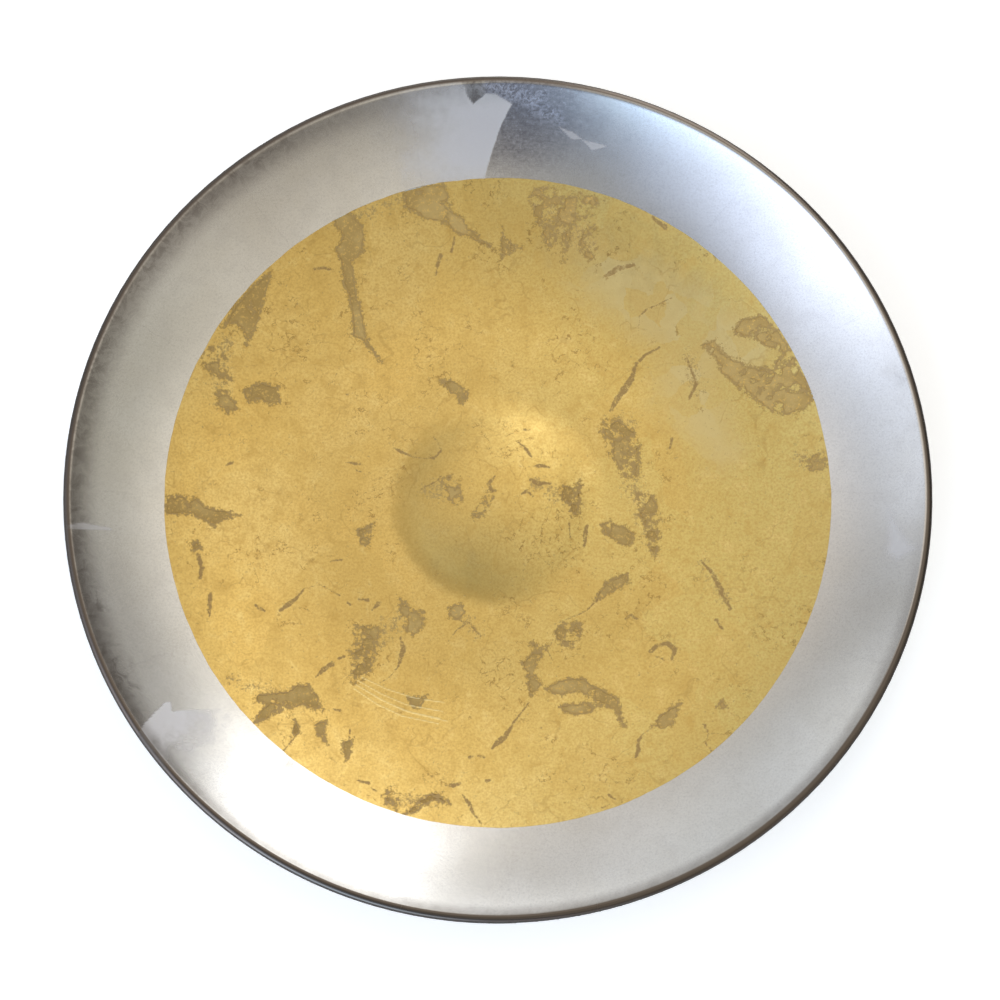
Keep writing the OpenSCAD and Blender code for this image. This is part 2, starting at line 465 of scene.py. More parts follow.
# Fine arcs scratched into the gold: chains of pixels
GOLD_SCRATCHES = [
    [(356, 679), (380, 693), (405, 704), (441, 711)],
    [(354, 683), (378, 698), (403, 710), (438, 718)],
    [(352, 687), (375, 703), (400, 715), (436, 723)],
    [(360, 676), (385, 688), (412, 697), (442, 702)],
    [(362, 688), (386, 702), (410, 712), (446, 721)],
]

# Patches of the ring: how ragged each edge is, where it is full and gone, and the patch's corners
NOTCH = ((0.3, -0.4, 0.4), [
    (456, 76), (489, 76), (489, 93), (487, 96), (477, 104), (471, 94), (470, 88), (465, 82)])
BARE_TOP = ((2.0, -26.0, 1.0), [
    (340, 55), (456, 66), (560, 60), (560, 200), (400, 215), (350, 180), (320, 110)])
BARE_LEFT = ((0.4, -0.5, 0.4), [
    (126, 745), (134, 733), (142, 720), (150, 712), (163, 699), (169, 698), (170, 708), (180, 707),
    (196, 706), (300, 700), (330, 860), (200, 860), (140, 775)])
BRUSHED_TOP = ((0.4, -0.4, 0.4), [
    (489, 55), (489, 93), (500, 94), (516, 104), (506, 122), (497, 146), (491, 166), (484, 198),
    (720, 230), (720, 55)])
FILM_PATCHES = {
    "sliver left": ((0.4, -0.2, 0.5), [(562, 127), (576, 133), (586, 140), (575, 140)]),
    "sliver right": ((0.4, -0.2, 0.5), [(586, 141), (598, 144), (612, 147), (595, 151)]),
    "lap left": ((0.4, -0.6, 0.4), [(66, 521), (84, 518), (112, 524), (112, 527), (84, 526), (66, 525)]),
    "arrow right": ((0.4, -6.0, 0.5), [
        (884, 497), (900, 522), (914, 544), (926, 552), (911, 562), (896, 571), (880, 560)]),
}

# Lines from which patches of the ring fade, and the flecked band: chains of (x, y, half width)
BRUSHED_START = [(489, 55, 0), (489, 93, 0), (516, 104, 0), (506, 122, 0), (497, 146, 0), (484, 198, 0)]
BARE_LEFT_START = [(126, 745, 0), (150, 712, 0), (163, 699, 0), (172, 708, 0)]
BRUSHED_BAND = [(490, 86, 3), (510, 92, 7), (540, 102, 9), (562, 122, 4)]

# Tarnish on the ring: how strong it is, and a chain of (x, y, half width)
TARNISH = [
    (1.0, [(84, 575, 5), (92, 590, 7), (98, 606, 5)]),
    (1.0, [(106, 640, 6), (118, 668, 9), (132, 700, 7)]),
    (0.6, [(165, 760, 8), (178, 775, 6)]),
    (0.6, [(282, 760, 4), (287, 763, 4)]),
    (0.3, [(896, 378, 6), (902, 386, 6)]),
]


# Trimmed, closed sheets of leaf

def wobble(t, seed):
    """How far a hand-laid seam strays from its line, in millimetres."""
    return sum(stray * lattice_noise(t, 0 * t, length, seed + step) for stray, length, step in SEAM_STRAYS)


def gold_edge(x, y):
    """Radius at which the gold meets the silver, in the direction of a place."""
    scale = GOLD_R / np.maximum(np.hypot(x, y), TINY)
    strayed = EDGE_STRAY * rough_noise(x * scale, y * scale, EDGE_LENGTH, GOLD_EDGE_SEED)
    return GOLD_R + EDGE_SHIFT + strayed


def placed(name, data):
    """A new object in the scene."""
    made = bpy.data.objects.new(name, data)
    bpy.context.scene.collection.objects.link(made)
    return made


class Sheet:
    """A grid of points with values on them, cut where a limit falls below zero."""

    def __init__(self, places, normals, limits, marks):
        rows, columns = places.shape[:2]
        self.limits = len(limits)
        self.marks = list(marks)
        fields = [*limits, *marks.values(), *np.moveaxis(normals, -1, 0)]
        self.places = list(places.reshape(-1, 3))
        self.values = list(np.stack(fields, axis=-1).reshape(-1, len(fields)))
        first = np.arange(rows * columns).reshape(rows, columns)[:-1, :-1].ravel()
        self.cells = np.stack([first, first + 1, first + columns + 1, first + columns], axis=-1)
        self.made = {}

    def crossing(self, a, b, k):
        """The point between a and b where limit k is zero."""
        key = (min(a, b), max(a, b), k)
        if key not in self.made:
            va, vb = self.values[a][k], self.values[b][k]
            t = min(max(va / (va - vb), CUT_MARGIN), 1 - CUT_MARGIN)
            self.places.append(self.places[a] + t * (self.places[b] - self.places[a]))
            value = self.values[a] + t * (self.values[b] - self.values[a])
            value[k] = 0.0
            self.values.append(value)
            self.made[key] = len(self.places) - 1
        return self.made[key]

    def cut(self, loop):
        """What is left of one cell."""
        for k in range(self.limits):
            kept = []
            for a, b in zip(loop, loop[1:] + loop[:1]):
                if self.values[a][k] >= 0:
                    kept.append(a)
                if (self.values[a][k] >= 0) != (self.values[b][k] >= 0):
                    kept.append(self.crossing(a, b, k))
            loop = kept
            if len(loop) < 3:
                return None
        return loop

    def faces(self):
        """The cells that lie inside every limit, whole or cut."""
        levels = np.array(self.values)[self.cells][:, :, : self.limits]
        whole = (levels >= 0).all(axis=(1, 2))
        gone = (levels < 0).all(axis=1).any(axis=1)
        kept = [list(map(int, cell)) for cell in self.cells[whole]]
        for cell in self.cells[~whole & ~gone]:
            loop = self.cut(list(map(int, cell)))
            if loop:
                kept.append(loop)
        return kept

    def build(self, name, thickness):
        """A closed mesh with the sheet as its top face."""
        top = self.faces()
        used = sorted({v for face in top for v in face})
        index = {v: i for i, v in enumerate(used)}
        top = [[index[v] for v in face] for face in top]
        count = len(used)
        values = np.array([self.values[v] for v in used])
        places = np.array([self.places[v] for v in used])
        normals = values[:, -3:] / np.linalg.norm(values[:, -3:], axis=1, keepdims=True)
        edges = dict.fromkeys((a, b) for face in top for a, b in zip(face, face[1:] + face[:1]))
        sides = [[b, a, a + count, b + count] for a, b in edges if (b, a) not in edges]
        under = [[v + count for v in reversed(face)] for face in top]
        points = np.concatenate([places, places - normals * thickness]) * MM
        mesh = bpy.data.meshes.new(name)
        mesh.from_pydata(points.tolist(), [], top + under + sides)
        for i, mark in enumerate(self.marks):
            column = np.tile(values[:, self.limits + i], 2)
            layer = mesh.attributes.new(mark, "FLOAT", "POINT")
            layer.data.foreach_set("value", column.astype(np.float32))
        mesh.shade_smooth()
        mesh.set_sharp_from_angle(angle=SHARP_ANGLE)
        mesh.validate()
        return placed(name, mesh)


# Gold sheets

def torn_distance(x, y, ragged):
    """Distance outside the tears, which hold scraps of leaf."""
    flakes = rough_noise(x, y, *FLAKES_NOISE)
    torn = np.full_like(x, FAR_MM)
    for left, corners in GOLD_TEARS.values():
        hole = area_distance(x, y, corners) + ragged * (1 + TEAR_RAGGED * left)
        scraps = SCRAP_SLOPE * (flakes - SCRAP_LEVEL + SCRAP_SHARE * left)
        torn = np.minimum(torn, np.maximum(hole, scraps))
    return torn


def raised_painted_shade(x, y, ragged):
    """Painted shade on the side of the raised centre turned from the light, from 0 to 1."""
    out = np.hypot(x, y) - BUMP_SHADE_R
    round_axis = faded(turn_between(np.arctan2(y, x), BUMP_SHADE_MIDDLE), *BUMP_SHADE_TURN)
    return round_axis * frayed(out, ragged, BUMP_SHADE_OUTWARD) * faded(-out, *BUMP_SHADE_INWARD)


def gold_marks(x, y):
    """On the gold disc: distance outside the tears and outside the cracks, how far the leaf is
    rubbed, distance from the scratches, how pale it is, painted shade on the raised centre, and the change
    of tone."""
    ragged = RAGGED_STRAY * sum(rough_noise(x, y, length, seed) for length, seed in RAGGED_NOISES)
    scratches = [[(px, py, SCRATCH_WIDTH) for px, py in chain] for chain in GOLD_SCRATCHES]
    return {
        "torn": torn_distance(x, y, ragged),
        "cracks": np.clip(nearest_chain(x, y, GOLD_CRACKS), -CRACK_DEPTH, FAR_MM),
        "rubbed": frayed(nearest_chain(x, y, GOLD_RUBBED), ragged, RUBBED_EDGE),
        "scratch": np.minimum(nearest_chain(x, y, scratches), FAR_MM),
        "pale": frayed(nearest_chain(x, y, GOLD_PALE), ragged, PALE_EDGE),
        # painted shade on the raised centre
        "bump_shade": BUMP_SHADE_STRENGTH * raised_painted_shade(x, y, ragged),
        "tone": np.clip((x - TONE_START) / TONE_RUN, 0, 1),
    }


def gold_seam(k, along, seed):
    """Where the seam before the k-th sheet runs, at places along it."""
    return (k - SHEETS_ACROSS / 2) * GOLD_PITCH + wobble(along, seed + k)


def gold_grid(k):
    """The grid across the k-th sheet, a little past its seams or past the edge of the gold."""
    left, right = ((k + side - SHEETS_ACROSS / 2) * GOLD_PITCH for side in (0, 1))
    low = left - SEAM_ROOM if k > 0 else -GOLD_R - EDGE_ROOM
    high = right + SEAM_ROOM if k < SHEETS_ACROSS - 1 else GOLD_R + EDGE_ROOM
    return np.arange(low, high + GRID_MM, GRID_MM)


def gold_sheet(column, row, name):
    """One sheet of gold leaf, with hand-laid seams and its tears."""
    x, y = np.meshgrid(gold_grid(column), gold_grid(row))
    r = np.hypot(x, y)
    inner = np.minimum(r, GOLD_R + 2 * EDGE_ROOM)
    z, tilt = leaf_surface(inner)
    out = np.stack([x, y], axis=-1) / np.maximum(r, TINY)[..., None]
    normals = np.concatenate([out * tilt[..., None], np.sqrt(1 - tilt**2)[..., None]], axis=-1)
    gap = SHEET_GAP / 2
    limits = [gold_edge(x, y) - gap - r]
    for k, across, along, seed in ((column, x, y, COLUMN_SEED), (row, y, x, ROW_SEED)):
        if k > 0:
            limits.append(across - gold_seam(k, along, seed) - gap)
        if k < SHEETS_ACROSS - 1:
            limits.append(gold_seam(k + 1, along, seed) - across - gap)
    marks = gold_marks(x, y)
    limits.append(marks["torn"] + FLAKED_MM)
    sheet = Sheet(np.stack([x, y, z], axis=-1), normals, limits, marks)
    return sheet.build(name, LEAF_TOP - LEAF_LOW)


# Silver sheets

def patch(x, y, ragged, shape):
    """1 on a patch of the ring and 0 beside it."""
    edge, corners = shape
    return frayed(area_distance(x, y, corners), ragged, edge)


def lip_wear_and_shade(angle, arc, ragged):
    """1 where the leaf is worn and darkened by painted shade on the lip, most of all at the front, with
    painted shade beside it.
    """
    front = faded(turn_between(angle, LIP_MIDDLE), *LIP_TURN)
    whole = LIP_WHOLE_BACK + (LIP_WHOLE_FRONT - LIP_WHOLE_BACK) * front
    lip_shade = LIP_SHADE * front * faded(-arc, *LIP_SHADE_INWARD) * (1 + LIP_SHADE_RAGGED * ragged)
    return np.clip(np.maximum(faded(whole - arc, *LIP_FADE), lip_shade), 0, 1)


def ring_marks(x, y, angle, arc):
    """Where the ring is bare film, pale as a painted highlight, dark, under painted shade, brushed, flecked
    and worn with painted shade on the lip, each from 0 to 1.
    The arc is the length along the section from the end of the wall."""
    ragged = RING_RAGGED * rough_noise(x, y, RING_RAGGED_LENGTH, RING_SEED)
    beyond = patch(x, y, ragged, BRUSHED_TOP)
    notch = patch(x, y, ragged, NOTCH)
    from_brushed = chain_distance(x, y, BRUSHED_START)
    bare = patch(x, y, ragged, BARE_TOP) * (1 - beyond) * (1 - notch)
    bare = bare * frayed(from_brushed, ragged, BARE_TOP_RUN)
    for shape in FILM_PATCHES.values():
        bare = np.maximum(bare, FILM_STRENGTH * patch(x, y, ragged, shape))
    # the left patch of bare film; its paleness is a painted highlight where the key light falls on it
    left = patch(x, y, ragged, BARE_LEFT)
    left = left * frayed(chain_distance(x, y, BARE_LEFT_START), ragged, BARE_LEFT_RUN)
    dark = notch
    for strength, chain in TARNISH:
        dark = np.maximum(dark, strength * frayed(chain_distance(x, y, chain), ragged, TARNISH_EDGE))
    # painted shade: a dark band inside the lip, on the left
    shade = faded(turn_between(angle, PAINTED_SHADE_MIDDLE), *PAINTED_SHADE_TURN) * faded(-arc, *PAINTED_SHADE_INWARD)
    run = frayed(from_brushed, ragged, BRUSHED_RUN)
    run = run * (1 - BRUSHED_FADED * frayed(arc - arc.min(), ragged, BRUSHED_PALE_RUN))
    band = frayed(chain_distance(x, y, BRUSHED_BAND), ragged, BAND_EDGE)
    return {
        "bare": np.maximum(bare, left),
        "pale": left,
        # painted highlight on the film of the left patch
        "dark": dark,
        "shade": PAINTED_SHADE_STRENGTH * shade,
        "brushed": np.maximum(beyond * run, BAND_STRENGTH * band * (1 - notch)),
        "flecked": band,
        # worn leaf and painted shade on the lip
        "lip": lip_wear_and_shade(angle, arc, ragged),
    }


def silver_section():
    """The ring's half section, from the gold's edge over the lip: radius, height, the angle by which
    it leans in, and the length along it from the end of the wall."""
    wall_r = WALL_R - LEAF_TOP
    lip_r = LEAF_TOP - LIP_R
    start = math.asin((GOLD_R - EDGE_ROOM - FOOT_R) / wall_r)
    rows = int((WALL_END - start) * wall_r / GRID_MM)
    wall = np.linspace(start, WALL_END, rows + 1)
    lip = np.linspace(WALL_END, math.radians(LEAF_END - 90), LIP_ROWS + 1)[1:]
    radius = np.concatenate([FOOT_R + wall_r * np.sin(wall), LIP_CENTRE[0] - lip_r * np.sin(lip)])
    height = np.concatenate([WALL_R - wall_r * np.cos(wall), LIP_CENTRE[1] + lip_r * np.cos(lip)])
    along = np.concatenate([(wall - WALL_END) * wall_r, (WALL_END - lip) * lip_r])
    return radius, height, np.concatenate([wall, lip]), along


def silver_sheet(i, name):
    """One sheet of silver leaf, from the gold's edge over the lip."""
    pitch = 2 * math.pi / SILVER_SHEETS
    step = GRID_MM / GRID_RING_R
    margin = RING_ROOM * step
    angles = np.arange((i + 1) * pitch + margin, i * pitch - margin - step, -step)
    radius, height, lean, arc = (np.repeat(part[:, None], len(angles), axis=1) for part in silver_section())
    angle = np.repeat(angles[None, :], len(radius), axis=0)
    places = turned(radius, height, angle)
    normals = turned(-np.sin(lean), np.cos(lean), angle)
    x, y = places[..., 0], places[..., 1]
    gap = SHEET_GAP / 2
    strays = [wobble(arc, RING_SEAM_SEED + k % SILVER_SHEETS) for k in (i, i + 1)]
    lengths = [(angle - k * pitch) * radius for k in (i, i + 1)]
    edge = np.hypot(x, y) - gold_edge(x, y) - gap
    limits = [lengths[0] - strays[0] - gap, strays[1] - lengths[1] - gap, edge]
    sheet = Sheet(places, normals, limits, ring_marks(x, y, angle, arc))
    return sheet.build(name, LEAF_TOP - LEAF_LOW)


# Shader helpers

def connect(tree, socket, value):
    """A socket gets a value or another node's output."""
    if isinstance(value, bpy.types.NodeSocket):
        tree.links.new(value, socket)
    else:
        socket.default_value = value


def add(tree, kind, settings=None, **inputs):
    """A shader node with its settings and inputs. An input is a value or another node's output."""
    node = tree.nodes.new("ShaderNode" + kind)
    for name, value in (settings or {}).items():
        setattr(node, name, value)
    for name, value in inputs.items():
        connect(tree, node.inputs[name.replace("_", " ")], value)
    return node


def maths(tree, operation, *values):
    """The result of a sum on values or outputs."""
    node = add(tree, "Math", {"operation": operation})
    for socket, value in zip(node.inputs, values):
        connect(tree, socket, value)
    return node.outputs[0]


def times(tree, a, b):
    """A product of two values."""
    return maths(tree, "MULTIPLY", a, b)


def mixed(tree, factor, a, b, blend="MIX"):
    """Colour a turned into colour b by a factor."""
    node = add(tree, "Mix", {"data_type": "RGBA", "blend_type": blend})
    for index, value in ((0, factor), (6, a), (7, b)):
        connect(tree, node.inputs[index], value)
    return node.outputs[2]


def stepped(tree, value, low, high, to_low=0.0, to_high=1.0):
    """A value carried smoothly from one range to another."""
    node = add(tree, "MapRange", {"interpolation_type": "SMOOTHSTEP"}, Value=value,
               From_Min=low, From_Max=high, To_Min=to_low, To_Max=to_high)
    return node.outputs[0]


def layered(tree, tone, patterns, layers):
    """A colour with layers of others on it, each with the pattern that it follows, two levels of that
    pattern, its strength at each of them, and its colour."""
    for pattern, low, high, to_low, to_high, shade in layers:
        strength = stepped(tree, patterns[pattern], low, high, to_low, to_high)
        tone = mixed(tree, strength, tone, shade)
    return tone


def noise(tree, where, size_mm, detail=3.0, rough=0.55, distortion=0.0):
    """Noise with features of a given size."""
    node = add(tree, "TexNoise", Vector=where, Scale=1 / (size_mm * MM), Detail=detail,
               Roughness=rough, Distortion=distortion)
    return node.outputs[0]


def noises(tree, where, kinds):
    """Several noises by name."""
    return {name: noise(tree, where, *values) for name, values in kinds.items()}


def moved(tree, where, size_mm, reach_mm):
    """The place, moved about by noise, so that a pattern on it gets uneven edges."""
    node = add(tree, "TexNoise", Vector=where, Scale=1 / (size_mm * MM), Detail=4.0)
    shift = add(tree, "VectorMath", {"operation": "SCALE"}, Vector=node.outputs["Color"],
                Scale=reach_mm * MM)
    total = add(tree, "VectorMath")
    tree.links.new(where, total.inputs[0])
    tree.links.new(shift.outputs[0], total.inputs[1])
    return total.outputs[0]


def fragments(tree, where, size_mm):
    """A level from 0 to 1 for each of many uneven fragments."""
    cells = add(tree, "TexVoronoi", Vector=where, Scale=1 / (size_mm * MM))
    return add(tree, "SeparateColor", Color=cells.outputs["Color"]).outputs[0]


def winding(tree, level, thin, wide, strength):
    """Thin winding lines where noise passes its middle level."""
    off = maths(tree, "ABSOLUTE", maths(tree, "SUBTRACT", level, 0.5))
    return stepped(tree, off, thin, wide, strength, 0.0)


def attribute(tree, name):
    """A mark that a sheet carries."""
    return add(tree, "Attribute", {"attribute_name": name}).outputs["Fac"]


def colour(red, green, blue):
    """A colour written as it shows, from 0 to 255, for a shader."""
    linear = [((c / 255 + 0.055) / 1.055) ** 2.4 if c > 10 else c / 255 / 12.92 for c in (red, green, blue)]
    return (*linear, 1.0)


def material(name):
    """An empty node material and its tree, with the place on the object in metres."""
    made = bpy.data.materials.new(name)
    made.use_nodes = True
    tree = made.node_tree
    tree.nodes.clear()
    where = add(tree, "TexCoord").outputs["Object"]
    return made, tree, where


def finish_with(tree, shader, output="OutputMaterial"):
    """The shader becomes the surface of a material or of the world."""
    add(tree, output, Surface=shader.outputs[0])


def surfaced(tree, height, strength, depth_mm, **inputs):
    """The tree ends in a surface with a relief of a depth."""
    relief = add(tree, "Bump", Height=height, Strength=strength, Distance=depth_mm * MM)
    finish_with(tree, add(tree, "BsdfPrincipled", Normal=relief.outputs[0], **inputs))


def polar(tree, where):
    """Angle about the axis and distance from it."""
    parts = add(tree, "SeparateXYZ", Vector=where).outputs
    angle = maths(tree, "ARCTAN2", parts[1], parts[0])
    flat = add(tree, "CombineXYZ", X=parts[0], Y=parts[1]).outputs[0]
    radius = add(tree, "VectorMath", {"operation": "LENGTH"}, Vector=flat).outputs["Value"]
    return angle, radius


# Gold leaf

# Its noises: size of their features in millimetres, detail, roughness and distortion
GOLD_NOISES = {
    "cloud": (45, 3),
    "mottle": (9, 4, 0.6, 0.6),
    "grain": (1.1, 3, 0.7),
    "vein": (11, 5, 0.6),
    "vein place": (24, 2),
    "vein break": (3, 3),
    "crease": (34, 3, 0.5, 0.3),
    "crease place": (19, 3),
    "flakes": (1.6, 4, 0.75),
    "crack": (1.9, 5, 0.8),
    "crinkle": (3.0, 4, 0.65),
}
GOLD_WARM = colour(241, 207, 122)
GOLD_LIGHT = colour(244, 215, 136)
GOLD_RIGHT = colour(232, 210, 130)
GOLD_FADED = colour(230, 210, 148)
# colour of the painted shade on the raised centre
GOLD_BUMP_SHADE = colour(188, 158, 84)
GOLD_VEIN = colour(168, 134, 74)
GOLD_CREASE = colour(184, 148, 80)
GOLD_TORN = colour(166, 134, 70)
GOLD_THIN = colour(178, 147, 86)
GOLD_CRACK = colour(160, 127, 70)
GOLD_SCRATCHED = colour(253, 234, 170)
GOLD_LAYERS = [
    ("patch", 0.10, 0.90, 0.00, 0.60, colour(230, 198, 116)),
    ("mottle", 0.50, 0.75, 0.00, 0.65, colour(217, 181, 100)),
    ("mottle", 0.26, 0.48, 0.55, 0.00, colour(250, 226, 150)),
    ("grain", 0.36, 0.70, 0.00, 0.65, colour(211, 172, 92)),
]


def gold_tone(tree, where, patterns):
    """Colour of whole gold leaf, with painted shade on the raised centre."""
    patch_level = fragments(tree, moved(tree, where, 14, 10), 30)
    tone = mixed(tree, stepped(tree, patterns["cloud"], 0.35, 0.68), GOLD_WARM, GOLD_LIGHT)
    tone = mixed(tree, attribute(tree, "tone"), tone, GOLD_RIGHT)
    tone = layered(tree, tone, {**patterns, "patch": patch_level}, GOLD_LAYERS)
    fragment = fragments(tree, moved(tree, where, 9, 8), 13)
    pale = times(tree, attribute(tree, "pale"), stepped(tree, fragment, 0.1, 0.9, 0.3, 0.9))
    tone = mixed(tree, pale, tone, GOLD_FADED)
    # painted shade on the side of the raised centre turned from the light
    return mixed(tree, attribute(tree, "bump_shade"), tone, GOLD_BUMP_SHADE)


def gold_veins(tree, patterns):
    """Short dark veins, in places."""
    veins = winding(tree, patterns["vein"], thin=0.004, wide=0.02, strength=0.75)
    veins = times(tree, veins, stepped(tree, patterns["vein place"], 0.49, 0.62))
    return times(tree, veins, stepped(tree, patterns["vein break"], 0.46, 0.56))


def gold_creases(tree, patterns):
    """Long faint creases, in places."""
    creases = winding(tree, patterns["crease"], thin=0.002, wide=0.010, strength=0.3)
    return times(tree, creases, stepped(tree, patterns["crease place"], 0.44, 0.58))


def marked(tree, mark, strength, pattern):
    """A pattern, raised or lowered by a mark of the sheet."""
    return maths(tree, "ADD", times(tree, attribute(tree, mark), strength), pattern)


def gold_leaf_material():
    """Leaf that thins out at its tears, with cracks, creases and scratches."""
    made, tree, where = material("gold_leaf")
    patterns = noises(tree, where, GOLD_NOISES)
    tone = gold_tone(tree, where, patterns)
    tone = mixed(tree, gold_veins(tree, patterns), tone, GOLD_VEIN)
    creases = gold_creases(tree, patterns)
    tone = mixed(tree, creases, tone, GOLD_CREASE)
    edge = marked(tree, "torn", -0.13, patterns["flakes"])
    specks = stepped(tree, marked(tree, "rubbed", 0.15, patterns["flakes"]), 0.58, 0.76, 0.0, 0.9)
    thin = maths(tree, "MAXIMUM", stepped(tree, edge, 0.47, 0.54), specks)
    line = marked(tree, "cracks", -0.42, patterns["crack"])
    line = stepped(tree, line, 0.46, 0.66, 0.0, 0.9)
    groove = stepped(tree, attribute(tree, "scratch"), 0.1, 0.55, 1.0, 0.0)
    tone = mixed(tree, stepped(tree, edge, 0.40, 0.47, 0.0, 0.55), tone, GOLD_TORN)
    tone = mixed(tree, thin, tone, GOLD_THIN)
    tone = mixed(tree, line, tone, GOLD_CRACK)
    tone = mixed(tree, times(tree, groove, 0.75), tone, GOLD_SCRATCHED)
    worn = maths(tree, "MAXIMUM", thin, line)
    rough = stepped(tree, patterns["mottle"], 0.3, 0.75, 0.34, 0.44)
    metal = stepped(tree, worn, 0.0, 1.0, 1.0, 0.25)
    crinkle = maths(tree, "ADD", patterns["crinkle"], times(tree, patterns["grain"], 0.5))
    sunk = maths(tree, "ADD", groove, maths(tree, "MAXIMUM", worn, creases))
    crinkle = maths(tree, "SUBTRACT", crinkle, sunk)
    surfaced(tree, crinkle, strength=0.4, depth_mm=0.12, Base_Color=tone, Metallic=metal, Roughness=rough,
             Coat_Weight=0.35, Coat_Roughness=0.35)
    return made


# Silver leaf

SILVER_NOISES = {
    "cloud": (30, 4),
    "mottle": (8, 2, 0.5),
    "grain": (0.9, 3, 0.7),
    "flecks": (1.1, 4, 0.75),
    "smoke": (6, 6, 0.7, 1.2),
    "scuffs": (2.0, 6, 0.82, 0.4),
}
STREAK_NOISE = (0.7, 3, 0.6)
DRAWN_NOISE = (4.5, 4, 0.75)
STREAK_TURN = 0.02  # metres that one radian counts for in the streaks
DRAWN_SHARE = 0.8  # share of the radius that counts in the strokes drawn across the ring
SILVER_WARM = colour(230, 228, 223)
SILVER_DARK = colour(138, 132, 128)
SILVER_FLECK = colour(222, 222, 228)
# colour of the worn lip, darkened as painted shade
LIP_WEAR_AND_SHADE_COLOUR = colour(106, 98, 91)
FILM_GREY = colour(205, 203, 205)
# painted highlight on the film of the left patch
FILM_PAINTED_HIGHLIGHT = colour(238, 238, 242)
SILVER_LAYERS = [
    ("cloud", 0.35, 0.70, 0.00, 1.00, colour(235, 234, 231)),
    ("mottle", 0.45, 0.75, 0.00, 0.20, colour(208, 205, 202)),
    ("grain", 0.40, 0.80, 0.00, 0.50, colour(196, 194, 192)),
]
STEEL_DARK = colour(172, 170, 172)
STEEL_LAYERS = [
    ("streak", 0.42, 0.62, 0.00, 1.00, colour(188, 186, 188)),
    ("drawn", 0.50, 0.72, 0.00, 0.55, colour(196, 195, 198)),
    ("scuffs", 0.40, 0.50, 0.75, 0.00, colour(146, 143, 148)),
    ("scuffs", 0.53, 0.66, 0.00, 0.80, colour(216, 216, 222)),
]


def silver_patterns(tree, where):
    """What the ring's colours follow: clouds and grain, and strokes round and across the ring."""
    angle, radius = polar(tree, where)
    along = add(tree, "CombineXYZ", X=times(tree, angle, STREAK_TURN), Y=radius).outputs[0]
    across = add(tree, "CombineXYZ", X=angle, Y=times(tree, radius, DRAWN_SHARE)).outputs[0]
    return {
        **noises(tree, where, SILVER_NOISES),
        "streak": noise(tree, along, *STREAK_NOISE),
        "drawn": noise(tree, across, *DRAWN_NOISE),
    }


def silver_tone(tree, patterns):
    """Colour of the leaf, from the whole to the tarnished, brushed, bare and worn, with painted shade
    inside and on the lip and a painted highlight on the pale film.
    """
    tone = layered(tree, SILVER_WARM, patterns, SILVER_LAYERS)
    # the shade mark is painted shade; the dark mark is tarnish and the dark notch
    shade = times(tree, attribute(tree, "shade"), stepped(tree, patterns["smoke"], 0.36, 0.6, 1.0, 0.72))
    sooty = times(tree, attribute(tree, "dark"), stepped(tree, patterns["smoke"], 0.36, 0.6, 1.0, 0.4))
    tone = mixed(tree, maths(tree, "MAXIMUM", shade, sooty), tone, SILVER_DARK)
    steel = layered(tree, STEEL_DARK, patterns, STEEL_LAYERS)
    tone = mixed(tree, attribute(tree, "brushed"), tone, steel)
    flecked = times(tree, attribute(tree, "flecked"), stepped(tree, patterns["scuffs"], 0.46, 0.56))
    tone = mixed(tree, flecked, tone, SILVER_FLECK)
    film = times(tree, attribute(tree, "bare"), stepped(tree, patterns["flecks"], 0.25, 0.45, 0.7, 0.9))
    # the film of the left patch is paler: a painted highlight
    tone = mixed(tree, film, tone, mixed(tree, attribute(tree, "pale"), FILM_GREY, FILM_PAINTED_HIGHLIGHT))
    # the lip: worn leaf and painted shade, darkest at the front
    return mixed(tree, attribute(tree, "lip"), tone, LIP_WEAR_AND_SHADE_COLOUR)


def silver_leaf_material():
    """Polished leaf, dull where it is bare film."""
    made, tree, where = material("silver_leaf")
    patterns = silver_patterns(tree, where)
    tone = silver_tone(tree, patterns)
    rough = stepped(tree, patterns["mottle"], 0.3, 0.75, 0.23, 0.25)
    metal = stepped(tree, attribute(tree, "bare"), 0.0, 1.0, 1.0, 0.15)
    raised = maths(tree, "ADD", patterns["streak"], patterns["grain"])
    surfaced(tree, raised, strength=0.05, depth_mm=0.03, Base_Color=tone, Metallic=metal, Roughness=rough)
    return made


# Paint and glass

PAINT_NOISES = {
    "cloud": (26, 3),
    "mottle": (5, 5, 0.65, 0.5),
    "grain": (0.8, 3, 0.7),
    "flecks": (1.6, 5, 0.78),
}
GLASS_NOISES = {"ripple": (24, 2), "seeds": (2.5, 2)}
GOLD_PAINT = {"light": colour(199, 167, 99), "dark": colour(177, 144, 78), "fleck": colour(230, 194, 112)}
SILVER_PAINT = {
    "light": colour(200, 200, 206), "dark": colour(186, 186, 192), "fleck": colour(216, 214, 212)}
# painted shade: the dark line of the paint round the rounded edge
SILVER_PAINT_EDGE_SHADE = colour(80, 74, 69)
EDGE_SHADE_START = 2.5  # how far inside the outer edge the paint starts to be dark as painted shade, and is dark
EDGE_SHADE_FULL = 0.5
GLASS_CLEAR = colour(236, 246, 241)
GLASS_GREEN = colour(228, 242, 236)
GLASS_IOR = 1.5


